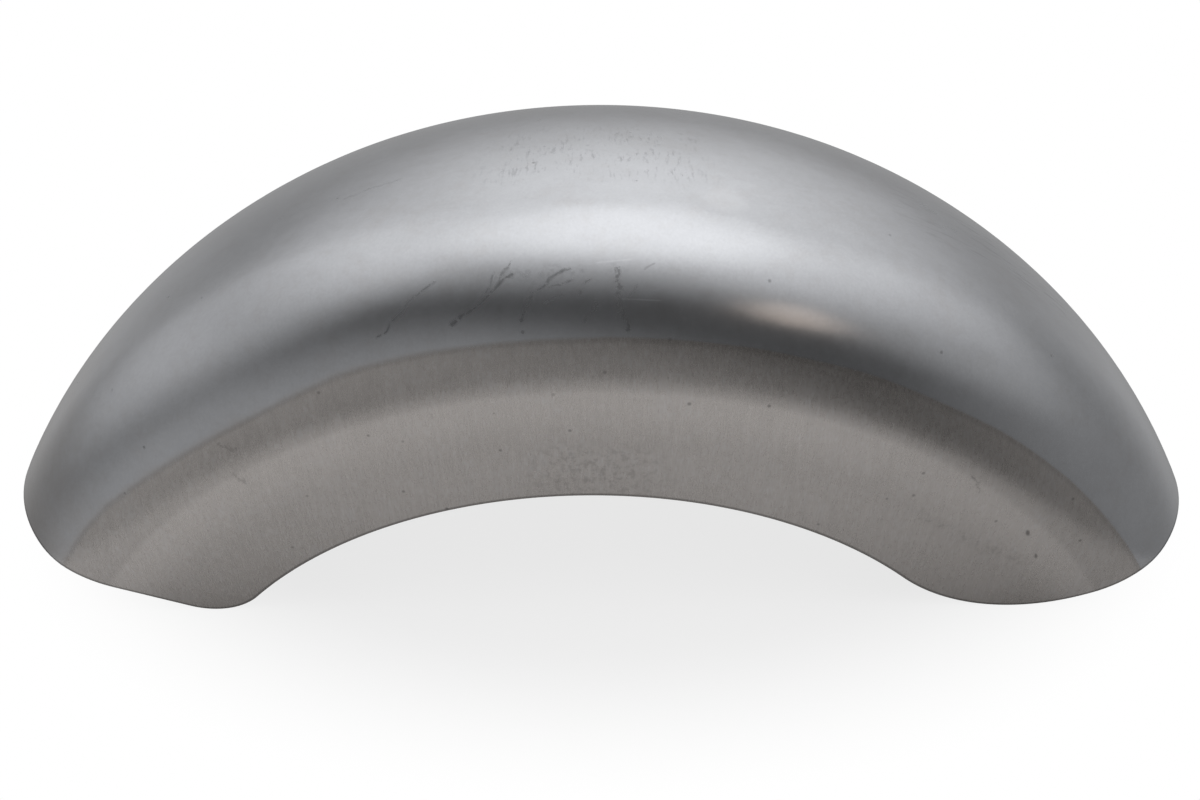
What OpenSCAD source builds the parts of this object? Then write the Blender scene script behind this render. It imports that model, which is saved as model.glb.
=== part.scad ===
// Rear fender of a custom motorcycle, pressed from one sheet of bare steel.
// Length runs along X, width along Y, and the wheel's axis is parallel to Y.
// The fender stands on its four skirt tips at z = 0, as it does in the photograph.
// The blunt end is at -X and the round end is at +X.

/* [Size] */
// outer radius at the middle of the crown, from the wheel's axis
crown_r = 347; // [330:1:370]
// overall width over the two skirts
fender_w = 200; // [180:1:220]
// thickness of the steel sheet
sheet = 2; // [1:0.5:4]
// height of the skirt tips above the wheel's axis
tip_level = 157.5; // [150:0.5:165]

/* [Cross section] */
// radius of the shallow arc across the top of the crown
crown_arc_r = 220; // [180:1:320]
// radius of the shoulder between crown and skirt
shoulder_r = 61; // [45:1:72]

/* [Wheel opening] */
// radius of the arc cut into the lower edge of both skirts
opening_r = 219.5; // [210:0.5:226]
// height of that arc's centre above the wheel's axis
opening_rise = 9.5; // [4:0.5:14]
// distance of that arc's centre from the wheel's axis along X
opening_shift = -4; // [-8:0.5:4]

/* [Blunt end] */
// angle of the crown's cut from the vertical, about the wheel's axis
blunt_angle = 53.4; // [50:0.1:58]
// slope of the skirt's end edge from the horizontal
blunt_slope = 23; // [18:1:28]
// radius of the skirt's tip
blunt_tip_r = 30; // [18:1:40]

/* [Round end] */
// angle of the crown's cut from the vertical, about the wheel's axis
round_angle = 55; // [52:0.1:58]
// slope of the skirt's end edge from the horizontal
round_slope = 25; // [20:1:30]
// radius of the skirt's large tip
round_tip_r = 82; // [66:1:90]

/* [End edges] */
// radius that blends the skirt's end edge into the crown's cut
blend_r = 70; // [40:1:90]

/* [Hidden] */
$fn = 96;

half_w = fender_w / 2;
// centre of the crown arc, as a distance from the wheel's axis
crown_c = crown_r - crown_arc_r;
// angle at which the crown arc passes into the shoulder
crown_half = asin((half_w - shoulder_r) / (crown_arc_r - shoulder_r));
// distance of the shoulder arc's centre from the wheel's axis
shoulder_c = crown_c + (crown_arc_r - shoulder_r) * cos(crown_half);
// the section runs from this radius, well inside the opening
skirt_in = crown_r - 190;

// centre of the wheel opening, measured from the wheel's axis
open_x = opening_shift;
open_z = opening_rise;
// centres of the tip arcs: each touches the ground line and the opening
blunt_cz = tip_level + blunt_tip_r;
blunt_cx = open_x - sqrt(pow(opening_r + blunt_tip_r, 2) - pow(blunt_cz - open_z, 2));
round_cz = tip_level + round_tip_r;
round_cx = open_x + sqrt(pow(opening_r + round_tip_r, 2) - pow(round_cz - open_z, 2));

// the finished fender is centred on x = 0
end_blunt_x = -crown_r * sin(blunt_angle);
end_round_x = crown_r * sin(round_angle);
shift_x = -(end_blunt_x + end_round_x) / 2;

// solid outline of the cross section: first value is the distance from the axis
// s is the distance from the outer face, so s = 0 draws the outside
module section_solid(s) {
  w = half_w - s;
  r = shoulder_r - s;
  a = crown_half;
  c = [shoulder_c, half_w - shoulder_r];
  far = 2 * crown_r;
  // skirts and the body of the section
  translate([skirt_in - 2 * s - 5, -w])
    square([shoulder_c - skirt_in + 2 * s + 5, 2 * w]);
  // the middle, out to where crown and shoulders meet
  polygon([
    [shoulder_c - 1, -(w - 1)],
    [c[0], -c[1]],
    [c[0] + (r - 0.5) * cos(a), -c[1] - (r - 0.5) * sin(a)],
    [c[0] + (r - 0.5) * cos(a), c[1] + (r - 0.5) * sin(a)],
    [c[0], c[1]],
    [shoulder_c - 1, w - 1]
  ]);
  // shoulders
  for (side = [-1, 1])
    translate([c[0], side * c[1]])
      circle(r = r);
  // crown
  intersection() {
    translate([crown_c, 0])
      circle(r = crown_arc_r - s);
    polygon([
      [crown_c, 0],
      [crown_c + far * cos(a), -far * sin(a)],
      [crown_c + far * cos(a), far * sin(a)]
    ]);
  }
}

// the sheet itself, as a section open towards the axis
module section_sheet() {
  difference() {
    intersection() {
      section_solid(0);
      translate([skirt_in, -fender_w])
        square([crown_r, 2 * fender_w]);
    }
    section_solid(sheet);
  }
}

// where two cuts with waste directions a1 and a2 are both r away
// d1 and d2 are the cuts' distances from the wheel's axis
function inside_corner(a1, d1, a2, d2, r) =
  let (det = cos(a1) * sin(a2) - sin(a1) * cos(a2))
  [
    ((d1 - r) * sin(a2) - (d2 - r) * sin(a1)) / det,
    ((d2 - r) * cos(a1) - (d1 - r) * cos(a2)) / det
  ];

// waste directions of the four end cuts, as angles in the side view
blunt_crown_dir = 180 + blunt_angle;
blunt_skirt_dir = 270 - blunt_slope;
round_crown_dir = 360 - round_angle;
round_skirt_dir = 270 + round_slope;
// distances of the skirts' end edges from the wheel's axis
blunt_skirt_d = blunt_cx * cos(blunt_skirt_dir) + blunt_cz * sin(blunt_skirt_dir) + blunt_tip_r;
round_skirt_d = round_cx * cos(round_skirt_dir) + round_cz * sin(round_skirt_dir) + round_tip_r;
// centres of the blends between skirt edge and crown cut
blunt_blend = inside_corner(blunt_crown_dir, 0, blunt_skirt_dir, blunt_skirt_d, blend_r);
round_blend = inside_corner(round_skirt_dir, round_skirt_d, round_crown_dir, 0, blend_r);

// waste outside a rounded corner, between two directions from the arc's centre
module corner_waste(c, r, a1, a2) {
  over = 6 + r / 5;
  mid = (a1 + a2) / 2;
  reach = r / cos((a2 - a1) / 2) + 2 * over;
  difference() {
    polygon([
      c,
      c + (r + over) * [cos(a1), sin(a1)],
      c + reach * [cos(mid), sin(mid)],
      c + (r + over) * [cos(a2), sin(a2)]
    ]);
    translate(c)
      circle(r = r);
  }
}

// everything on the kept side of a straight cut
// dir is the angle that points to the waste and d the cut's distance from the axis
module keep_side(dir, d) {
  rotate(dir)
    translate([d - 1200, -1200])
      square([1200, 2400]);
}

// the fender seen from the side, with the wheel's axis at the origin
module side_outline() {
  difference() {
    intersection() {
      keep_side(blunt_crown_dir, 0);
      keep_side(blunt_skirt_dir, blunt_skirt_d);
      keep_side(round_crown_dir, 0);
      keep_side(round_skirt_dir, round_skirt_d);
      translate([-500, 20])
        square([1000, 600]);
    }
    translate([open_x, open_z])
      circle(r = opening_r);
    // tips of the skirts, from the end edge round to the wheel opening
    corner_waste([blunt_cx, blunt_cz], blunt_tip_r, blunt_skirt_dir,
      360 + atan2(open_z - blunt_cz, open_x - blunt_cx));
    corner_waste([round_cx, round_cz], round_tip_r,
      360 + atan2(open_z - round_cz, open_x - round_cx), round_skirt_dir);
    // blends from the skirts' end edges into the crown's cuts
    corner_waste(blunt_blend, blend_r, blunt_crown_dir, blunt_skirt_dir);
    corner_waste(round_blend, blend_r, round_skirt_dir, round_crown_dir);
  }
}

// one bent sheet: crown, two shoulders and two flat skirts, trimmed to the side outline
module fender() {
  color([0.55, 0.55, 0.56])
    translate([shift_x, 0, -tip_level])
      rotate([90, 0, 0])
        intersection() {
          rotate_extrude()
            section_sheet();
          linear_extrude(height = fender_w + 40, center = true)
            side_outline();
        }
}

fender();
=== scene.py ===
"""Bare steel motorcycle rear fender: looks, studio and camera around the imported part."""

import logging
import math
from dataclasses import dataclass, field
from enum import Enum
from typing import Any, Union

import bpy
from mathutils import Matrix, Vector


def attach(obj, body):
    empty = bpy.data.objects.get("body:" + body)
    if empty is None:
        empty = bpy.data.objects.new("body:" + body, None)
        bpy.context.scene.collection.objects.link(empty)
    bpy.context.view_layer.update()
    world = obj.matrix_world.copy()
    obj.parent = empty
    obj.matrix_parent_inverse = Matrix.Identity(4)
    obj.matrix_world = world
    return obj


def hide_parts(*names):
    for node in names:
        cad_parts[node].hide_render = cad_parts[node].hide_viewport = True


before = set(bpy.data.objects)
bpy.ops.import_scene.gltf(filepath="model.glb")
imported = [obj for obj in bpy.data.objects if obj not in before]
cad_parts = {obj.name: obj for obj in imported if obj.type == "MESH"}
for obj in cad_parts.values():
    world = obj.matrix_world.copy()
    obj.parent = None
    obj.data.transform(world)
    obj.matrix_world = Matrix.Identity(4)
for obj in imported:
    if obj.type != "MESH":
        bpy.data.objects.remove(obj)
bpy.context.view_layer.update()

logging.basicConfig(level=logging.INFO, format="%(message)s")
LOG = logging.getLogger("fender")

Number = Union[int, float]
Colour = tuple[float, float, float]
Direction = tuple[float, float, float]
Reach = tuple[float, float]
Operand = Union["Field", Number, Colour]

WHITE: Colour = (1.0, 1.0, 1.0)
UPWARDS: Direction = (0.0, 0.0, 1.0)
MM_PER_M = 1000.0
NOISE_MIDDLE = 0.5
START_SIZE = 0.001
ARC_MISS = 0.0005
LINE_MISS = 1e-6
SEAM_GAP = 0.00001


class Zone(Enum):
    """Material slots of the sheet."""

    OUTSIDE = 0
    INSIDE = 1
    CUT_EDGE = 2


# Selecting and shaping by operators


def deselect_all() -> None:
    """Leave edit mode, with nothing selected."""
    if bpy.context.object and bpy.context.object.mode != "OBJECT":
        bpy.ops.object.mode_set(mode="OBJECT")
    bpy.ops.object.select_all(action="DESELECT")


def select_only(piece: bpy.types.Object) -> None:
    """Select one object and make it the active one."""
    deselect_all()
    bpy.context.view_layer.objects.active = piece
    piece.select_set(True)


def start_point(name: str, place: Vector) -> bpy.types.Object:
    """Add a tiny plane, gather it into one vertex and stay in edit mode.

    Args:
        name: Name of the new object.
        place: Where the single vertex ends up.

    Returns:
        The new object, with its one vertex selected in vertex mode.
    """
    deselect_all()
    bpy.ops.mesh.primitive_plane_add(size=START_SIZE, location=place)
    piece = bpy.context.object
    piece.name = name
    bpy.ops.object.transform_apply(location=True, rotation=True, scale=True)
    bpy.ops.object.mode_set(mode="EDIT")
    bpy.ops.mesh.select_mode(type="VERT")
    bpy.ops.mesh.select_all(action="SELECT")
    bpy.ops.mesh.merge(type="CENTER")
    return piece


def end_place(piece: bpy.types.Object) -> Vector:
    """Give the place of the selected end vertex of a traced line."""
    piece.update_from_editmode()
    chosen = [v.co.copy() for v in piece.data.vertices if v.select]
    return chosen[-1]


def draw_to(piece: bpy.types.Object, goal: Vector, steps: int = 1) -> None:
    """Extrude the selected end vertex along a straight line.

    Args:
        piece: Object in edit mode with one selected vertex.
        goal: Where the line ends.
        steps: Number of equal parts.
    """
    part = (goal - end_place(piece)) / steps
    for _ in range(steps):
        bpy.ops.mesh.extrude_region_move(TRANSFORM_OT_translate={"value": part})


def draw_arc(piece: bpy.types.Object, centre: Vector, goal: Vector, axis: Vector, steps: int) -> None:
    """Spin the selected end vertex about a centre until it reaches the goal.

    Args:
        piece: Object in edit mode with one selected vertex.
        centre: Centre of the arc.
        goal: Where the arc ends, at the same distance from the centre.
        axis: Unit vector that the arc turns about.
        steps: Number of parts of the arc.
    """
    first = (end_place(piece) - centre).normalized()
    last = (goal - centre).normalized()
    turn = math.atan2(first.cross(last).dot(axis), first.dot(last))
    bpy.ops.mesh.spin(steps=steps, angle=-turn, center=centre, axis=axis)
    if (end_place(piece) - goal).length > ARC_MISS:
        raise RuntimeError(f"arc of {piece.name} missed its end")


def ray(degrees: float) -> Vector:
    """Unit direction in the side view, from +X towards +Z."""
    angle = math.radians(degrees)
    return Vector((math.cos(angle), 0, math.sin(angle)))


def finish_modifier(piece: bpy.types.Object, kind: str, **settings: Any) -> None:
    """Add one modifier, set it and apply it.

    Args:
        piece: Object that gets the modifier.
        kind: Blender's modifier type.
        settings: Values of the modifier's properties.
    """
    select_only(piece)
    modifier = piece.modifiers.new(kind.lower(), kind)
    for key, value in settings.items():
        setattr(modifier, key, value)
    bpy.ops.object.modifier_apply(modifier=modifier.name)


# Materials as Python sums


class Field:
    """A shader socket that can be used in Python expressions."""

    def __init__(self, graph: "Graph", socket: bpy.types.NodeSocket) -> None:
        """Keep the socket and the graph that it belongs to."""
        self.graph = graph
        self.socket = socket

    def _math(self, operation: str, *values: Operand) -> "Field":
        """Add one Math node with the given operands."""
        inputs = {i: v for i, v in enumerate(values)}
        return self.graph.node("ShaderNodeMath", {"operation": operation}, inputs)

    def __add__(self, other: Operand) -> "Field":
        """self + other"""
        return self._math("ADD", self, other)

    def __radd__(self, other: Operand) -> "Field":
        """other + self"""
        return self._math("ADD", other, self)

    def __sub__(self, other: Operand) -> "Field":
        """self - other"""
        return self._math("SUBTRACT", self, other)

    def __rsub__(self, other: Operand) -> "Field":
        """other - self"""
        return self._math("SUBTRACT", other, self)

    def __mul__(self, other: Operand) -> "Field":
        """self * other"""
        return self._math("MULTIPLY", self, other)

    def __rmul__(self, other: Operand) -> "Field":
        """other * self"""
        return self._math("MULTIPLY", other, self)

    def __truediv__(self, other: Operand) -> "Field":
        """self / other"""
        return self._math("DIVIDE", self, other)

    def __abs__(self) -> "Field":
        """abs(self)"""
        return self._math("ABSOLUTE", self)

    def __pow__(self, other: Operand) -> "Field":
        """self ** other"""
        return self._math("POWER", self, other)

    def sign(self) -> "Field":
        """-1 below zero and 1 above it."""
        return self._math("SIGN", self)

    def root(self) -> "Field":
        """Square root."""
        return self._math("SQRT", self)

    def larger(self, other: Operand) -> "Field":
        """The larger of two values."""
        return self._math("MAXIMUM", self, other)

    def smaller(self, other: Operand) -> "Field":
        """The smaller of two values."""
        return self._math("MINIMUM", self, other)

    def other(self, out: Union[int, str]) -> "Field":
        """Another output of the same node."""
        return Field(self.graph, self.socket.node.outputs[out])

    def red(self) -> "Field":
        """First part of a colour or vector."""
        return self.graph.node("ShaderNodeSeparateXYZ", {}, {0: self})

    def fade(self, low: Number, high: Number) -> "Field":
        """A smooth step from 0 at low to 1 at high, where low may be the higher number."""
        flip = low > high
        settings = {"interpolation_type": "SMOOTHSTEP"}
        values = {"Value": self, "From Min": min(low, high), "From Max": max(low, high)}
        step = self.graph.node("ShaderNodeMapRange", settings, values)
        return 1.0 - step if flip else step


class Graph:
    """The node tree of one material or of the world, with one method for any node."""

    def __init__(self, tree: bpy.types.NodeTree) -> None:
        """Clear the tree and start a new one."""
        self.tree = tree
        self.tree.nodes.clear()

    def node(
        self,
        kind: str,
        settings: dict[str, Any],
        inputs: dict[Any, Any],
        out: Union[int, str] = 0,
    ) -> Field:
        """Add a node, set it, and fill its sockets.

        Args:
            kind: Blender's node type.
            settings: Properties of the node, which are set first.
            inputs: Values or fields, by socket name or number.
            out: The output socket that is returned.

        Returns:
            The chosen output as a field.
        """
        made = self.tree.nodes.new(kind)
        for key, value in settings.items():
            setattr(made, key, value)
        for key, value in inputs.items():
            socket = made.inputs[key]
            if isinstance(value, Field):
                self.tree.links.new(value.socket, socket)
            elif isinstance(value, tuple) and socket.type == "RGBA" and len(value) == 3:
                socket.default_value = (*value, 1.0)
            else:
                socket.default_value = value
        return Field(self, made.outputs[out])

    def blend(self, amount: Operand, first: Any, second: Any) -> Field:
        """Mix two colours by an amount from 0 to 1."""
        return self.node("ShaderNodeMix", {"data_type": "RGBA"}, {0: amount, 6: first, 7: second}, 2)

    def finish(self, kind: str, shader: Field) -> None:
        """Join the last shader to a new output node."""
        end = self.tree.nodes.new(kind)
        self.tree.links.new(shader.socket, end.inputs["Surface"])

    def dot(self, first: Field, second: Direction) -> Field:
        """Dot product of a vector field and a fixed direction."""
        settings = {"operation": "DOT_PRODUCT"}
        return self.node("ShaderNodeVectorMath", settings, {0: first, 1: second}, "Value")

    def vector(self, x: Operand, y: Operand, z: Operand) -> Field:
        """A vector from three values."""
        return self.node("ShaderNodeCombineXYZ", {}, {0: x, 1: y, 2: z})


@dataclass(frozen=True)
class Noise:
    """A noise pattern, where step is the range over which its spots fade in."""

    scale: float
    detail: float = 2.0
    roughness: float = 0.5
    step: Reach = (0.0, 1.0)

    def at(self, g: Graph, where: Field) -> Field:
        """The pattern around 0.5."""
        values = {"Vector": where, "Scale": self.scale, "Detail": self.detail, "Roughness": self.roughness}
        return g.node("ShaderNodeTexNoise", {"noise_dimensions": "3D"}, values, "Fac")

    def swing(self, g: Graph, where: Field) -> Field:
        """The pattern around 0."""
        return self.at(g, where) - NOISE_MIDDLE

    def spots(self, g: Graph, where: Field) -> Field:
        """The pattern as spots, 0 between them and 1 on them."""
        return self.at(g, where).fade(*self.step)


@dataclass(frozen=True)
class Layer(Noise):
    """A noise pattern in the steel, and how strongly it changes the finish.

    upright is the share of the height that the noise sees, so a small one draws the pattern out upright.
    shade, rough and tint are shares of brightness, roughness and colour, and rise is in metres.
    """

    upright: float = 1.0
    shade: float = 0.0
    rough: float = 0.0
    tint: float = 0.0
    rise: float = 0.0


@dataclass(frozen=True)
class Stroke:
    """A scuff line on the unrolled sheet, in millimetres.

    The first number of a place is measured along X, and the second across from the crown's middle line,
    negative towards the near side. bow is how far the line's middle stands off the straight.
    """

    start: tuple[float, float]
    end: tuple[float, float]
    width: float
    depth: float
    bow: float = 0.0

    def near(self, along: Field, across: Field) -> Field:
        """1 on the line, falling to 0 at its half width."""
        dx = self.end[0] - self.start[0]
        dy = self.end[1] - self.start[1]
        length = math.hypot(dx, dy)
        ux, uy = dx / length, dy / length
        px, py = along - self.start[0], across - self.start[1]
        down = px * ux + py * uy
        aside = px * uy - py * ux
        if self.bow:
            parabola = 4 * self.bow / length ** 2
            aside = aside - down * (length - down) * parabola
        beyond = (0.0 - down).larger(down - length).larger(0.0)
        return (abs(aside) + beyond).fade(self.width, 0.0)


@dataclass(frozen=True)
class Spot:
    """A round mark on the unrolled sheet, in millimetres, where core is its full part."""

    place: tuple[float, float]
    radius: float
    depth: float
    core: float = 0.3

    def near(self, along: Field, across: Field) -> Field:
        """1 in the core, falling to 0 at the radius."""
        px, py = along - self.place[0], across - self.place[1]
        return (px * px + py * py).root().fade(self.radius, self.radius * self.core)


@dataclass(frozen=True)
class WornPatch:
    """A worn patch on the unrolled sheet, in millimetres.

    Each reach gives the distances from the middle at which the patch is gone and is full.
    """

    middle: tuple[float, float]
    along_reach: Reach
    across_reach: Reach
    depth: float

    def near(self, along: Field, across: Field) -> Field:
        """1 around the middle, falling to 0 at the outer reach."""
        lengthwise = abs(along - self.middle[0]).fade(*self.along_reach)
        return lengthwise * abs(across - self.middle[1]).fade(*self.across_reach)


def strongest(strokes: tuple[Stroke, ...], along: Field, across: Field) -> Field:
    """Strength of the strongest stroke at each place, and 0 where there is none."""
    total = along * 0.0
    for stroke in strokes:
        total = total.larger(stroke.near(along, across) * stroke.depth)
    return total


@dataclass(frozen=True)
class SheetShape:
    """Sizes of the pressed sheet, in metres and degrees, as in the part's source."""

    crown_r: float = 0.347
    half_w: float = 0.1
    sheet: float = 0.002
    tip_level: float = 0.1575
    crown_arc_r: float = 0.220
    shoulder_r: float = 0.061
    opening_r: float = 0.2195
    opening_rise: float = 0.0095
    opening_shift: float = -0.004
    blunt_angle: float = 53.4
    blunt_slope: float = 23.0
    blunt_tip_r: float = 0.030
    round_angle: float = 55.0
    round_slope: float = 25.0
    round_tip_r: float = 0.082
    blend_r: float = 0.070

    @property
    def axis_x(self) -> float:
        """Place of the wheel's axis along X."""
        blunt = math.sin(math.radians(self.blunt_angle))
        other = math.sin(math.radians(self.round_angle))
        return self.crown_r * (blunt - other) / 2

    @property
    def crown_half(self) -> float:
        """Angle, in radians, at which the crown arc passes into the shoulder."""
        return math.asin((self.half_w - self.shoulder_r) / (self.crown_arc_r - self.shoulder_r))

    @property
    def crown_c(self) -> float:
        """Distance of the crown arc's centre from the wheel's axis."""
        return self.crown_r - self.crown_arc_r

    @property
    def shoulder_c(self) -> float:
        """Distance of the shoulder arc's centre from the wheel's axis."""
        return self.crown_c + (self.crown_arc_r - self.shoulder_r) * math.cos(self.crown_half)

    def tip_centre(self, side: int, tip_r: float) -> tuple[float, float]:
        """Centre of a rounded skirt tip from the wheel's axis, on the blunt (-1) or the round (1) side."""
        z = self.tip_level + tip_r
        reach = math.sqrt((self.opening_r + tip_r) ** 2 - (z - self.opening_rise) ** 2)
        return self.opening_shift + side * reach, z

    def at(self, along: float, across: float, up: float) -> Vector:
        """Turn a place measured from the wheel's axis into the part's frame."""
        return Vector((self.axis_x + along, across, up - self.tip_level))


@dataclass
class FenderSheet:
    """The one bent sheet: crown, shoulders and skirts, trimmed to its side outline.

    Lengths are in metres and angles in degrees. half_turn is the arch to each side of its top before
    the trim. The outline block reaches block_half across, block_cut along the crown's end cuts, and
    block_top to the sides and up. facing_least is the cosine beyond which a face is outside or inside.
    """

    shape: SheetShape = field(default_factory=SheetShape)
    skirt_reach: float = 0.190
    half_turn: float = 64.0
    turn_steps: int = 236
    shoulder_steps: int = 26
    crown_steps: int = 18
    skirt_steps: int = 6
    block_half: float = 0.13
    block_cut: float = 0.45
    block_top: Reach = (0.35, 0.52)
    blend_steps: int = 12
    blunt_tip_steps: int = 24
    opening_steps: int = 160
    round_tip_steps: int = 40
    trim_gap: float = 0.000002
    rim: float = 0.0006
    rim_segments: int = 3
    rim_profile: float = 0.72
    rim_angle: float = 55.0
    smooth_angle: float = 24.0
    facing_least: float = 0.997

    def build(self) -> bpy.types.Object:
        """Revolve the section, give it its thickness, trim it and break the cut edge.

        Returns:
            The finished sheet, still without its materials.
        """
        sheet = self._section()
        self._revolve(sheet)
        finish_modifier(sheet, "SOLIDIFY", thickness=self.shape.sheet, offset=-1.0, use_even_offset=True)
        keep = self._outline_block()
        finish_modifier(sheet, "BOOLEAN", operation="INTERSECT", solver="EXACT", object=keep)
        bpy.data.objects.remove(keep, do_unlink=True)
        self._merge_after_trim(sheet)
        finish_modifier(
            sheet,
            "BEVEL",
            width=self.rim,
            segments=self.rim_segments,
            profile=self.rim_profile,
            limit_method="ANGLE",
            angle_limit=math.radians(self.rim_angle),
            use_clamp_overlap=True,
        )
        select_only(sheet)
        bpy.ops.object.shade_smooth_by_angle(angle=math.radians(self.smooth_angle))
        return sheet

    def _section(self) -> bpy.types.Object:
        """Trace the cross section at the top of the arch, from near skirt to far skirt."""
        s = self.shape
        low = s.crown_r - self.skirt_reach
        side = s.half_w - s.shoulder_r
        over = math.sin(s.crown_half)
        meet_y = s.crown_arc_r * over
        meet_r = s.crown_c + s.crown_arc_r * math.cos(s.crown_half)
        sheet = start_point("fender_sheet", s.at(0, -s.half_w, low))
        draw_to(sheet, s.at(0, -s.half_w, s.shoulder_c), self.skirt_steps)
        turn = Vector((1, 0, 0))
        draw_arc(sheet, s.at(0, -side, s.shoulder_c), s.at(0, -meet_y, meet_r), turn, self.shoulder_steps)
        draw_arc(sheet, s.at(0, 0, s.crown_c), s.at(0, meet_y, meet_r), turn, self.crown_steps)
        far_side = s.at(0, s.half_w, s.shoulder_c)
        draw_arc(sheet, s.at(0, side, s.shoulder_c), far_side, turn, self.shoulder_steps)
        draw_to(sheet, s.at(0, s.half_w, low), self.skirt_steps)
        return sheet

    def _revolve(self, sheet: bpy.types.Object) -> None:
        """Spin the section about the wheel's axis, half the arch each way, and face it outwards."""
        s = self.shape
        centre = s.at(0, 0, 0)
        half = math.radians(self.half_turn)
        for turn in (half, -half):
            bpy.ops.mesh.select_all(action="DESELECT")
            bpy.ops.object.mode_set(mode="OBJECT")
            for vertex in sheet.data.vertices:
                vertex.select = abs(vertex.co.x - s.axis_x) < LINE_MISS
            bpy.ops.object.mode_set(mode="EDIT")
            bpy.ops.mesh.spin(steps=self.turn_steps // 2, angle=turn, center=centre, axis=(0, 1, 0))
        bpy.ops.mesh.select_all(action="SELECT")
        bpy.ops.mesh.remove_doubles(threshold=SEAM_GAP)
        bpy.ops.mesh.normals_make_consistent(inside=False)
        bpy.ops.object.mode_set(mode="OBJECT")
        top = max(sheet.data.polygons, key=lambda face: face.center.z)
        if top.normal.z < 0:
            bpy.ops.object.mode_set(mode="EDIT")
            bpy.ops.mesh.select_all(action="SELECT")
            bpy.ops.mesh.flip_normals()
            bpy.ops.object.mode_set(mode="OBJECT")

    def _outline_block(self) -> bpy.types.Object:
        """Trace the side outline as a closed line and push it across the whole width."""
        s = self.shape
        y = -self.block_half
        turn = Vector((0, 1, 0))

        def inside_corner(dir_a: float, far_a: float, dir_b: float, far_b: float, r: float) -> Vector:
            """Point that lies r inside each of two cuts."""
            a, b = ray(dir_a), ray(dir_b)
            det = a.x * b.z - a.z * b.x
            x = ((far_a - r) * b.z - (far_b - r) * a.z) / det
            z = ((far_b - r) * a.x - (far_a - r) * b.x) / det
            return s.at(x, y, z)

        opening = s.at(s.opening_shift, y, s.opening_rise)
        blunt_x, blunt_z = s.tip_centre(-1, s.blunt_tip_r)
        round_x, round_z = s.tip_centre(1, s.round_tip_r)
        blunt_tip = s.at(blunt_x, y, blunt_z)
        round_tip = s.at(round_x, y, round_z)

        # Each cut is given by the direction that it faces, and by how far out it lies.
        blunt_crown, blunt_skirt = 180 + s.blunt_angle, 270 - s.blunt_slope
        round_crown, round_skirt = 360 - s.round_angle, 270 + s.round_slope
        blunt_far = Vector((blunt_x, 0, blunt_z)).dot(ray(blunt_skirt)) + s.blunt_tip_r
        round_far = Vector((round_x, 0, round_z)).dot(ray(round_skirt)) + s.round_tip_r
        blunt_blend = inside_corner(blunt_crown, 0, blunt_skirt, blunt_far, s.blend_r)
        round_blend = inside_corner(round_skirt, round_far, round_crown, 0, s.blend_r)

        blunt_top = s.at(0, y, 0) + ray(90 + s.blunt_angle) * self.block_cut
        round_top = s.at(0, y, 0) + ray(90 - s.round_angle) * self.block_cut
        block = start_point("outline_block", blunt_top)
        draw_to(block, blunt_blend + ray(blunt_crown) * s.blend_r)
        draw_arc(block, blunt_blend, blunt_blend + ray(blunt_skirt) * s.blend_r, turn, self.blend_steps)
        draw_to(block, blunt_tip + ray(blunt_skirt) * s.blunt_tip_r)
        to_opening = (opening - blunt_tip).normalized()
        draw_arc(block, blunt_tip, blunt_tip + to_opening * s.blunt_tip_r, turn, self.blunt_tip_steps)
        from_round = (opening - round_tip).normalized()
        draw_arc(block, opening, round_tip + from_round * s.round_tip_r, turn, self.opening_steps)
        round_end = round_tip + ray(round_skirt) * s.round_tip_r
        draw_arc(block, round_tip, round_end, turn, self.round_tip_steps)
        draw_to(block, round_blend + ray(round_skirt) * s.blend_r)
        draw_arc(block, round_blend, round_blend + ray(round_crown) * s.blend_r, turn, self.blend_steps)
        draw_to(block, round_top)
        top_x, top_z = self.block_top
        draw_to(block, s.at(top_x, y, top_z))
        draw_to(block, s.at(-top_x, y, top_z))
        draw_to(block, blunt_top)

        bpy.ops.mesh.select_all(action="SELECT")
        bpy.ops.mesh.remove_doubles(threshold=SEAM_GAP)
        bpy.ops.mesh.select_all(action="SELECT")
        bpy.ops.mesh.edge_face_add()
        bpy.ops.mesh.select_all(action="SELECT")
        bpy.ops.mesh.extrude_region_move(TRANSFORM_OT_translate={"value": (0, -2 * y, 0)})
        bpy.ops.mesh.select_all(action="SELECT")
        bpy.ops.mesh.normals_make_consistent(inside=False)
        bpy.ops.object.mode_set(mode="OBJECT")
        return block

    def _merge_after_trim(self, sheet: bpy.types.Object) -> None:
        """Join vertices that lie on each other after the trim."""
        select_only(sheet)
        bpy.ops.object.mode_set(mode="EDIT")
        bpy.ops.mesh.select_all(action="SELECT")
        bpy.ops.mesh.remove_doubles(threshold=self.trim_gap)
        bpy.ops.object.mode_set(mode="OBJECT")

    def dress(self, sheet: bpy.types.Object, finishes: dict[Zone, bpy.types.Material]) -> None:
        """Give the outer face, the inner face and the cut edge their finishes.

        Args:
            sheet: The finished sheet.
            finishes: One material for each zone.
        """
        sheet.data.materials.clear()
        for zone in Zone:
            sheet.data.materials.append(finishes[zone])
        for face in sheet.data.polygons:
            facing = face.normal.dot(self._outward(face.center))
            if facing > self.facing_least:
                zone = Zone.OUTSIDE
            elif facing < -self.facing_least:
                zone = Zone.INSIDE
            else:
                zone = Zone.CUT_EDGE
            face.material_index = zone.value

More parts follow.
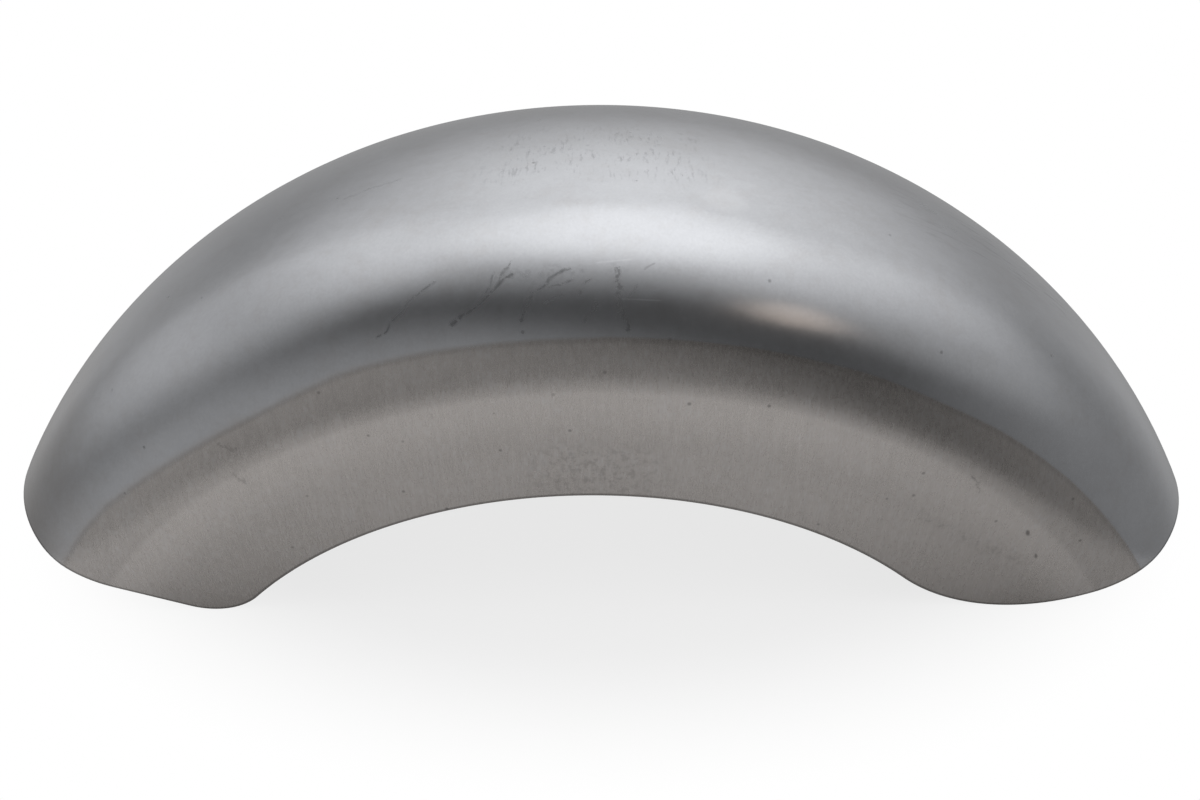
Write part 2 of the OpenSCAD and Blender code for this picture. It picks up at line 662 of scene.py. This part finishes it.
    def _outward(self, place: Vector) -> Vector:
        """Give the outward direction of the sheet at a place on it."""
        s = self.shape
        around = Vector((place.x - s.axis_x, 0, place.z + s.tip_level))
        rise = around.length
        aside = Vector((0, math.copysign(1.0, place.y), 0))
        width = abs(place.y)
        if rise < s.shoulder_c:
            return aside
        from_crown = rise - s.crown_c
        if math.atan2(width, from_crown) < s.crown_half:
            return (around.normalized() * from_crown + aside * width).normalized()
        from_shoulder = rise - s.shoulder_c
        return (around.normalized() * from_shoulder + aside * (width - s.half_w + s.shoulder_r)).normalized()


@dataclass(frozen=True)
class FinishLine:
    """Where the smooth crown meets the grained skirt, in metres.

    The line runs at from_axis from the wheel's axis, dips near the blunt end, and is sharp on the round
    end's half and soft on the other.
    """

    from_axis: float = 0.3046
    waver: Noise = Noise(14.0)
    waver_depth: float = 0.0022
    dip_behind: float = 0.158
    dip_half: float = 0.055
    dip_depth: float = 0.0035
    soft_reach: Reach = (0.04, -0.16)
    soft: float = 0.0022
    sharp: float = 0.0005
    dark_below: float = 0.0008
    dark_reach: Reach = (0.0018, 0.0002)

    def split(self, g: Graph, where: Field, x: Field, rho: Field) -> tuple[Field, Field]:
        """Part the crown from the skirt.

        Args:
            g: Graph of the material.
            where: Place on the part.
            x: Its first part, along the fender.
            rho: Distance from the wheel's axis.

        Returns:
            1 on the crown and 0 on the skirt, and the strength of the dark line between them.
        """
        waver = self.waver.swing(g, where)
        dip = (1.0 - ((x + self.dip_behind) / self.dip_half) ** 2.0).larger(0.0) * self.dip_depth
        edge = rho - self.from_axis + dip + waver * self.waver_depth
        width = x.fade(*self.soft_reach) * self.soft + self.sharp
        crown = (edge / width).fade(-1.0, 1.0)
        line = abs(edge + self.dark_below).fade(*self.dark_reach)
        return crown, line


@dataclass(frozen=True)
class Scuffs:
    """Dark scratches, bent and shaken off the straight and broken up by flecks, in millimetres."""

    strokes: tuple[Stroke, ...] = ()
    bend: Noise = Noise(60.0, 2.0, 0.6)
    bend_along: float = 9.0
    bend_across: float = 7.0
    shake: Noise = Noise(330.0, 3.0, 0.7)
    shake_reach: float = 5.0
    flecks: Noise = Noise(520.0, 4.0, 0.80, (0.42, 0.52))
    least: float = 0.05

    def over(self, g: Graph, where: Field, along: Field, across: Field) -> Field:
        """Strength of the scuffs, from 0 up."""
        if not self.strokes:
            return along * 0.0
        bend = self.bend.swing(g, where)
        shake = self.shake.at(g, where)
        flecks = self.flecks.spots(g, where)
        sideways = shake.other("Color").red() - NOISE_MIDDLE
        px = along + bend * self.bend_along + (shake - NOISE_MIDDLE) * self.shake_reach
        py = across - bend * self.bend_across + sideways * self.shake_reach
        return strongest(self.strokes, px, py) * (self.least + flecks * (1.0 - self.least))


@dataclass(frozen=True)
class Stains:
    """Dark specks, dust, pits and rubbed places.

    worn says whether the three worn patches show: on top, on the round end's side and at the skirt's foot.
    A grain pair is the noise's metres for each millimetre along and across, which draws a pattern out.
    """

    pits: tuple[Spot, ...] = ()
    rubs: tuple[Stroke, ...] = ()
    worn: bool = False
    cell_scale: float = 75.0
    cell_core: Reach = (0.075, 0.03)
    cell_choice: Reach = (0.45, 0.55)
    dust: Noise = Noise(850.0, 2.0, 0.6, (0.72, 0.80))
    dust_place: Noise = Noise(30.0, step=(0.56, 0.68))
    speck_depth: float = 1.6
    pit_depth: float = 1.5
    rub_depth: float = 1.6
    blotches: Noise = Noise(330.0, 4.0, 0.75, (0.46, 0.62))
    gaps: Noise = Noise(90.0, 4.0, 0.7, (0.42, 0.60))
    ticks: Noise = Noise(560.0, 4.0, 0.7, (0.50, 0.64))
    tick_grain: Reach = (0.001, 0.00022)
    streaks: Noise = Noise(420.0, 3.0, 0.6, (0.52, 0.68))
    streak_grain: Reach = (0.00016, 0.001)
    top: WornPatch = WornPatch((-3.0, -20.0), (56.0, 30.0), (34.0, 14.0), 1.1)
    side: WornPatch = WornPatch((172.0, -18.0), (60.0, 30.0), (26.0, 14.0), 0.8)
    foot: WornPatch = WornPatch((-4.0, -204.0), (40.0, 10.0), (20.0, 6.0), 0.9)

    def over(self, g: Graph, where: Field, along: Field, across: Field) -> Field:
        """Strength of the stains, from 0 up."""
        cells = g.node("ShaderNodeTexVoronoi", {}, {"Vector": where, "Scale": self.cell_scale}, "Distance")
        speck = cells.fade(*self.cell_core) * cells.other("Color").red().fade(*self.cell_choice)
        dust = self.dust.spots(g, where) * self.dust_place.spots(g, where)
        spread = (speck * self.speck_depth).larger(dust)
        for pit in self.pits:
            spread = spread.larger(pit.near(along, across) * pit.depth * self.pit_depth)
        blotches = self.blotches.spots(g, where)
        for rub in self.rubs:
            spread = spread.larger(rub.near(along, across) * blotches * rub.depth * self.rub_depth)
        if not self.worn:
            return spread
        ticks = self.ticks.spots(g, self._drawn_out(g, along, across, self.tick_grain))
        streaks = self.streaks.spots(g, self._drawn_out(g, along, across, self.streak_grain))
        top = self.top.near(along, across) * ticks * self.gaps.spots(g, where)
        side = self.side.near(along, across) * streaks
        foot = self.foot.near(along, across) * blotches
        for patch, strength in ((self.top, top), (self.side, side), (self.foot, foot)):
            spread = spread.larger(strength * patch.depth)
        return spread

    @staticmethod
    def _drawn_out(g: Graph, along: Field, across: Field, grain: Reach) -> Field:
        """Place on the unrolled sheet, with each direction scaled for itself."""
        return g.vector(along * grain[0], across * grain[1], 0.0)


@dataclass(frozen=True)
class BareSteel:
    """Bare pressed steel: a smooth cool crown over warmer skirts with an upright grain.

    Lengths are in metres. The names that end in dark, light or pale are shares of the brightness, and
    those that end in rough are added to the roughness. The band just below the shoulder is painted light:
    the skirt there is painted paler than its foot, as though more light fell there. coolness is how much
    of the crown's colour shows, less towards the blunt end.
    """

    name: str
    shape: SheetShape
    crown_colour: Colour = (0.519, 0.528, 0.550)
    skirt_colour: Colour = (0.497, 0.468, 0.450)
    crown_rough: float = 0.21
    skirt_rough: float = 0.28
    finish_line: FinishLine = FinishLine()
    scuffs: Scuffs = Scuffs()
    stains: Stains = Stains()
    scratches: tuple[Stroke, ...] = ()
    dent: Union[Spot, None] = None

    cloud: Layer = Layer(9.0, 4.0, 0.55, shade=0.10, rough=0.05, rise=0.00030)
    patch: Layer = Layer(38.0, 3.0, 0.60, shade=0.09, rough=0.05, tint=0.4, rise=0.00005)
    mottle: Layer = Layer(170.0, 4.0, 0.65, shade=0.10, rough=0.04, tint=0.5)
    grain: Layer = Layer(1300.0, 2.0, 0.60, upright=0.20, shade=0.30, rough=0.12, tint=0.9, rise=0.000020)
    brush: Layer = Layer(420.0, 2.0, 0.50, upright=0.10, shade=0.18, rise=0.000030)
    grit: Layer = Layer(1000.0, 2.0, 0.60, upright=0.5, shade=0.12)
    smear: Layer = Layer(60.0, 3.0, 0.60, shade=0.13)
    smear_slant: Reach = (0.30, 0.25)

    # Painted light: the skirt just below the shoulder is painted paler than its foot.
    painted_light_foot: Reach = (0.026, 0.003)
    painted_light_top: float = 0.004
    painted_band_light: float = 0.16
    cool_reach: Reach = (-0.285, -0.200)
    cool_gain: float = 0.70
    cool_least: float = 0.30
    line_dark: float = 0.12
    scuff_dark: float = 0.50
    scuff_rough: float = 0.15
    stain_dark: float = 0.20
    stain_rough: float = 0.08
    scratch_light: float = 0.25
    # Painted shade: a dark line painted along the cut edge of the outer face.
    edge_shade_dark: float = 0.45
    edge_shade_reach: Reach = (0.0016, 0.0007)
    edge_shade_blur: float = 0.005
    # Painted highlight: the dent's hollow is painted paler.
    dent_highlight_pale: float = 0.10
    dent_highlight_colour: Colour = (0.9, 0.9, 0.92)

    def make(self) -> bpy.types.Material:
        """Build the material.

        Returns:
            The finished material, with its pattern on Object coordinates.
        """
        material = bpy.data.materials.new(self.name)
        material.use_nodes = True
        g = Graph(material.node_tree)
        s = self.shape
        where = g.node("ShaderNodeTexCoord", {}, {}, "Object")
        x = g.node("ShaderNodeSeparateXYZ", {}, {0: where})
        y, z = x.other(1), x.other(2)
        from_axis, up = x - s.axis_x, z + s.tip_level
        rho = (from_axis * from_axis + up * up).root()
        along = x * MM_PER_M
        across = (y + y.sign() * (s.crown_r - rho)) * MM_PER_M

        crown, line = self.finish_line.split(g, where, x, rho)
        skirt = 1.0 - crown
        cloud = self.cloud.swing(g, where)
        patch = self.patch.swing(g, where)
        mottle = self.mottle.swing(g, where)
        grain = self.grain.swing(g, g.vector(x, y, z * self.grain.upright))
        brush = self.brush.swing(g, g.vector(x, y, z * self.brush.upright))
        grit = self.grit.swing(g, g.vector(x, y, z * self.grit.upright))
        slanted = x * self.smear_slant[0] + y * self.smear_slant[1]
        smear = self.smear.swing(g, g.vector(slanted, y, z))
        scuff = self.scuffs.over(g, where, along, across)
        stain = self.stains.over(g, where, along, across)

        shade = 1.0 + cloud * self.cloud.shade + patch * self.patch.shade + mottle * self.mottle.shade
        shade = shade + (grain * self.grain.shade + brush * self.brush.shade) * skirt
        # Painted light: a paler band painted on the skirt below the shoulder.
        shade = shade + self._painted_light_band(rho) * skirt * self.painted_band_light
        shade = shade + (grit * self.grit.shade + smear * self.smear.shade) * crown
        shade = shade * (1.0 - line * self.line_dark)
        shade = shade * (1.0 - scuff * self.scuff_dark)
        shade = shade * (1.0 - stain * self.stain_dark)
        # Painted shade: a dark line along the cut edge, for the dark that the rolled rim mirrors.
        shade = shade * (1.0 - self._painted_edge_shade(from_axis, up) * self.edge_shade_dark)
        shade = shade + strongest(self.scratches, along, across) * self.scratch_light

        coolness = crown * (x.fade(*self.cool_reach) * self.cool_gain + self.cool_least)
        coolness = coolness + patch * self.patch.tint + mottle * self.mottle.tint
        coolness = (coolness + grain * skirt * self.grain.tint).larger(0.0).smaller(1.0)
        tint = g.blend(coolness, self.skirt_colour, self.crown_colour)
        base = g.node("ShaderNodeVectorMath", {"operation": "SCALE"}, {0: tint, "Scale": shade})

        rough = skirt * self.skirt_rough + crown * self.crown_rough
        rough = rough + cloud * self.cloud.rough + patch * self.patch.rough + mottle * self.mottle.rough
        rough = rough + scuff * self.scuff_rough + stain * self.stain_rough
        rough = rough + grain * skirt * self.grain.rough

        height = (grain * self.grain.rise + brush * self.brush.rise) * skirt
        height = height + cloud * self.cloud.rise + patch * self.patch.rise
        if self.dent:
            hollow = self.dent.near(along, across)
            height = height - hollow * self.dent.depth
            # Painted highlight: the dent's hollow is also painted paler, beside its real bump.
            base = g.blend(hollow * self.dent_highlight_pale, base, self.dent_highlight_colour)
        normal = g.node("ShaderNodeBump", {}, {"Strength": 1.0, "Distance": 1.0, "Height": height})
        finish = {"Base Color": base, "Roughness": rough, "Metallic": 1.0, "Normal": normal}
        shader = g.node("ShaderNodeBsdfPrincipled", {}, finish)
        g.finish("ShaderNodeOutputMaterial", shader)
        return material

    def _painted_light_band(self, rho: Field) -> Field:
        """1 on the band of painted light, painted paler, on the skirt just below the shoulder."""
        shoulder = self.shape.shoulder_c
        low, high = self.painted_light_foot
        foot = rho.fade(shoulder - low, shoulder - high)
        return foot * rho.fade(shoulder + self.painted_light_top, shoulder)

    def _painted_edge_shade(self, from_axis: Field, up: Field) -> Field:
        """Strength of the painted shade along the cut edge of the outer face: a dark line in place of the
        dark that the rolled rim mirrors.
        """
        s = self.shape
        open_x, open_z = from_axis - s.opening_shift, up - s.opening_rise
        gap = (open_x * open_x + open_z * open_z).root() - s.opening_r
        tips = up * 0.0
        ends = (
            (-1, s.blunt_angle, s.blunt_slope, s.blunt_tip_r),
            (1, s.round_angle, s.round_slope, s.round_tip_r),
        )
        for side, angle, slope, tip_r in ends:
            crown_cut = ray(270 + side * (90 - angle))
            skirt_cut = ray(270 + side * slope)
            gap = gap.smaller(0.0 - (from_axis * crown_cut.x + up * crown_cut.z))
            tip_x, tip_z = s.tip_centre(side, tip_r)
            far = tip_x * skirt_cut.x + tip_z * skirt_cut.z + tip_r
            gap = gap.smaller(far - (from_axis * skirt_cut.x + up * skirt_cut.z))
            to_opening = Vector((s.opening_shift - tip_x, 0, s.opening_rise - tip_z)).normalized()
            middle = (skirt_cut + to_opening).normalized()
            off_x, off_z = from_axis - tip_x, up - tip_z
            off = (off_x * off_x + off_z * off_z).root()
            facing = (off_x * middle.x + off_z * middle.z) / off
            wedge = middle.dot(skirt_cut)
            inside_wedge = facing.fade(wedge - self.edge_shade_blur, wedge + self.edge_shade_blur)
            tips = tips.larger((tip_r - off).fade(*self.edge_shade_reach) * inside_wedge)
        return gap.fade(*self.edge_shade_reach).larger(tips)


@dataclass(frozen=True)
class SoftLight:
    """One round patch of light in the room, seen from the part.

    rim and core are the cosines from its middle at which it starts and is full.
    """

    aim: Direction
    level: float
    rim: float
    core: float

    def over(self, g: Graph, way: Field) -> Field:
        """Light of the patch in each direction."""
        aim = Vector(self.aim).normalized()
        return g.dot(way, tuple(aim)).fade(self.rim, self.core) * self.level


@dataclass
class Studio:
    """A pale table, soft light above and behind, and a dim room before the part.

    A pair of table_size is its width and length in metres, and the other pairs are where a change starts
    and ends. The table's paper colour is a painted pool of light, bright at the middle and dimmer towards
    +X.
    seen_share is how much of the white background mirrored rays see.
    """

    table_size: Reach = (0.64, 0.76)
    table_corners: int = 96
    # Painted pool of light: the table's own colour, bright at the middle and dimmer towards +X.
    painted_pool_bright: Colour = (0.71, 0.71, 0.71)
    painted_pool_dim: Colour = (0.47, 0.47, 0.47)
    painted_pool_reach: Reach = (0.31, 0.08)
    shadow_share: float = 0.22
    shadow_reach: Reach = (0.19, 0.315)
    shadow_oval: Direction = (1.0, 1.6, 1.0)
    sky_lights: tuple[SoftLight, ...] = (
        SoftLight((0.119, 0.289, 0.89), 0.815, 0.325, 1.004),
        SoftLight((0.076, 0.083, 1.00), 0.740, 0.828, 1.030),
        SoftLight((0.070, 0.750, 1.00), 0.140, 0.860, 1.000),
        SoftLight((-0.830, 0.090, 0.600), 0.46, 0.71, 1.00),
        SoftLight((0.760, -0.220, 0.700), 0.32, 0.74, 1.00),
        SoftLight((0.050, 0.980, -0.150), 0.29, 0.05, 0.88),
        SoftLight((-0.960, 0.050, -0.330), 0.18, 0.52, 0.97),
        SoftLight((0.970, -0.080, -0.250), 0.20, 0.50, 0.99),
        SoftLight((-0.600, -0.780, 0.160), 0.09, 0.82, 1.00),
    )
    low_glow: SoftLight = SoftLight((-0.42, -0.84, -0.38), 0.23, 0.52, 0.97)
    sky_foot: Reach = (-0.90, -0.25)
    room_level: float = 0.053
    seen_share: float = 0.04
    glint_aim: Direction = (0.476, -0.679, 0.562)
    glint_at: Direction = (0.070, -0.088, 0.151)
    glint_reach: float = 1.1
    glint_size: float = 0.30
    glint_colour: Colour = (1.0, 0.82, 0.68)
    glint_power: float = 0.13

    def build(self) -> None:
        """Make the table, the room's light and the small warm lamp."""
        self._table()
        self._room()
        self._glint_lamp()

    def _seen(self, g: Graph) -> Field:
        """1 for rays from the camera and a small share for mirrored and passed rays."""
        camera = g.node("ShaderNodeLightPath", {}, {}, "Is Camera Ray")
        mirrored = camera.other("Is Glossy Ray").larger(camera.other("Is Transmission Ray"))
        return camera.larger(mirrored * self.seen_share)

    def _table(self) -> None:
        """One pale oval top that keeps the part's shadow and passes into the white room."""
        deselect_all()
        width, length = self.table_size
        bpy.ops.mesh.primitive_circle_add(
            vertices=self.table_corners,
            radius=width / 2,
            fill_type="NGON",
            location=(0, 0, 0),
        )
        table = bpy.context.object
        bpy.ops.object.mode_set(mode="EDIT")
        bpy.ops.mesh.select_all(action="SELECT")
        bpy.ops.transform.resize(value=(1.0, length / width, 1.0))
        bpy.ops.object.mode_set(mode="OBJECT")
        table.name = "studio_table"
        table.data.materials.append(self._table_paper())

    def _table_paper(self) -> bpy.types.Material:
        """Pale paper that turns white towards the table's rim, its own colour painted dimmer towards +X as a
        painted pool of light.
        """
        material = bpy.data.materials.new("studio_table_paper")
        material.use_nodes = True
        g = Graph(material.node_tree)
        where = g.node("ShaderNodeTexCoord", {}, {}, "Object")
        oval = g.node("ShaderNodeVectorMath", {"operation": "MULTIPLY"}, {0: where, 1: self.shadow_oval})
        away = g.node("ShaderNodeVectorMath", {"operation": "LENGTH"}, {0: oval}, "Value")
        white_share = 1.0 - self.shadow_share * (1.0 - away.fade(*self.shadow_reach))
        # Painted light: the paper's colour dims towards +X as a painted pool of light.
        painted_pool_tone = g.blend(where.red().fade(*self.painted_pool_reach), self.painted_pool_dim, self.painted_pool_bright)
        paper = g.node("ShaderNodeBsdfDiffuse", {}, {"Color": painted_pool_tone})
        white = g.node("ShaderNodeEmission", {}, {"Color": WHITE})
        shader = g.node("ShaderNodeMixShader", {}, {0: self._seen(g) * white_share, 1: paper, 2: white})
        g.finish("ShaderNodeOutputMaterial", shader)
        return material

    def _room(self) -> None:
        """World light: white to the camera, and by direction to the part."""
        world = bpy.context.scene.world or bpy.data.worlds.new("room")
        bpy.context.scene.world = world
        world.use_nodes = True
        g = Graph(world.node_tree)
        way = g.node("ShaderNodeTexCoord", {}, {}, "Generated")
        sky = self.sky_lights[0].over(g, way)
        for patch in self.sky_lights[1:]:
            sky = sky + patch.over(g, way)
        level = sky * g.dot(way, UPWARDS).fade(*self.sky_foot) + self.low_glow.over(g, way)
        level = level + self.room_level
        seen = self._seen(g)
        strength = level * (1.0 - seen) + seen
        light = g.node("ShaderNodeBackground", {}, {"Color": WHITE, "Strength": strength})
        g.finish("ShaderNodeOutputWorld", light)

    def _glint_lamp(self) -> None:
        """A small warm lamp whose mirror image is the glint on the shoulder."""
        data = bpy.data.lights.new("warm_lamp", "AREA")
        data.shape = "DISK"
        data.size = self.glint_size
        data.color = self.glint_colour
        data.energy = self.glint_power
        lamp = bpy.data.objects.new("warm_lamp", data)
        aim = Vector(self.glint_aim).normalized()
        lamp.location = Vector(self.glint_at) + aim * self.glint_reach
        lamp.rotation_euler = aim.to_track_quat("Z", "Y").to_euler()
        bpy.context.scene.collection.objects.link(lamp)


@dataclass(frozen=True)
class PhotoCamera:
    """The photograph's camera, close and a little above the fender's near side.

    Angles are in degrees, lens and film_width in millimetres, and the other lengths in metres.
    """

    rise: float = 37.2
    swing: float = -0.05
    roll: float = -0.25
    distance: float = 0.4511
    aim_x: float = -0.0021
    aim_z: float = 0.0455
    lens: float = 25.61
    film_width: float = 36.0
    nearest: float = 0.01

    def place(self) -> None:
        """Create the camera and make it the scene's."""
        data = bpy.data.cameras.new("photo_camera")
        data.sensor_fit = "HORIZONTAL"
        data.sensor_width = self.film_width
        data.lens = self.lens
        data.clip_start = self.nearest
        camera = bpy.data.objects.new("photo_camera", data)
        bpy.context.scene.collection.objects.link(camera)
        rise, swing, roll = (math.radians(v) for v in (self.rise, self.swing, self.roll))
        level = math.cos(rise)
        back = Vector((math.sin(swing) * level, -math.cos(swing) * level, math.sin(rise)))
        right = Vector((math.cos(swing), math.sin(swing), 0.0))
        up = back.cross(right)
        turned_right = right * math.cos(roll) + up * math.sin(roll)
        turned_up = up * math.cos(roll) - right * math.sin(roll)
        place = Vector((self.aim_x, 0.0, self.aim_z)) + back * self.distance
        rows = [(turned_right[i], turned_up[i], back[i], place[i]) for i in range(3)]
        camera.matrix_world = Matrix((*rows, (0.0, 0.0, 0.0, 1.0)))
        bpy.context.scene.camera = camera


SCUFF_STROKES: tuple[Stroke, ...] = (
    Stroke((-86, -124), (-63, -103), 1.3, 0.85),
    Stroke((-58, -126), (-34, -104), 1.6, 1.10),
    Stroke((-14, -103), (-30, -129), 1.6, 0.95, bow=3.5),
    Stroke((-4, -119), (-8, -131), 1.2, 0.50, bow=-2.0),
    Stroke((4, -102), (8, -134), 1.5, 0.95),
    Stroke((-47, -115), (-40, -103), 1.1, 0.70),
    Stroke((-39, -109), (-34, -97), 1.1, 0.75),
    Stroke((-21, -113), (-12, -109), 1.1, 0.75),
    Stroke((-20, -121), (-14, -117), 1.1, 0.55),
    Stroke((-9, -117), (-5, -109), 1.1, 0.70, bow=-1.0),
    Stroke((10, -120), (13, -112), 1.0, 0.50),
    Stroke((13, -104), (17, -99), 1.0, 0.40),
    Stroke((-108, -29), (-84, -25), 1.0, 0.5),
    Stroke((151, -163), (156, -168), 1.2, 0.6),
    Stroke((-153, -162), (-147, -170), 1.4, 0.45),
    Stroke((-155, -147), (-149, -153), 1.2, 0.5),
)
SKIRT_PITS: tuple[Spot, ...] = (
    Spot((183, -170), 1.6, 1.6),
    Spot((191, -175), 1.2, 1.5),
    Spot((32, -168), 1.1, 1.2),
)
RUBBED_STROKES: tuple[Stroke, ...] = (
    Stroke((131, -191), (187, -180), 4.5, 0.50, bow=3.0),
    Stroke((-38, -105), (-10, -104), 7.0, 0.55),
    Stroke((-27, -110), (-20, -124), 6.0, 0.35),
    Stroke((4, -102), (7, -130), 6.0, 0.40),
)
BRIGHT_SCRATCHES: tuple[Stroke, ...] = (
    Stroke((6, -119), (20, -119), 0.6, 0.9),
    Stroke((-3, -100), (9, -98), 0.8, 0.3),
)
TOP_DENT = Spot((45, -56), 12.0, 0.00026)


def make_finishes(shape: SheetShape) -> dict[Zone, bpy.types.Material]:
    """Make the three finishes of the sheet.

    Args:
        shape: Sizes of the sheet, which the finishes follow.

    Returns:
        One material for each zone.
    """
    outside = BareSteel(
        "bare_steel_outside",
        shape,
        scuffs=Scuffs(SCUFF_STROKES),
        stains=Stains(SKIRT_PITS, RUBBED_STROKES, worn=True),
        scratches=BRIGHT_SCRATCHES,
        dent=TOP_DENT,
    )
    inside = BareSteel(
        "bare_steel_inside",
        shape,
        crown_colour=(0.46, 0.46, 0.465),
        crown_rough=0.40,
        skirt_rough=0.44,
    )
    # Cut-edge steel painted darker: partly raw cut steel, partly painted shade for the dark rim line.
    cut_edge = BareSteel(
        "cut_edge_steel_and_shade",
        shape,
        crown_colour=(0.34, 0.34, 0.34),
        skirt_colour=(0.33, 0.32, 0.31),
        crown_rough=0.42,
        skirt_rough=0.45,
    )
    return {Zone.OUTSIDE: outside.make(), Zone.INSIDE: inside.make(), Zone.CUT_EDGE: cut_edge.make()}


def main() -> None:
    """Build the sheet, its finishes, the studio and the camera."""
    bpy.context.scene.view_settings.view_transform = "Standard"
    shape = SheetShape()
    builder = FenderSheet(shape)
    sheet = builder.build()
    builder.dress(sheet, make_finishes(shape))
    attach(sheet, "root")
    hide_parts("fender")
    LOG.info("fender_sheet: %d faces", len(sheet.data.polygons))
    Studio().build()
    LOG.info("studio: table, room light and warm lamp")
    PhotoCamera().place()
    LOG.info("camera placed")


if __name__ == "__main__":
    main()
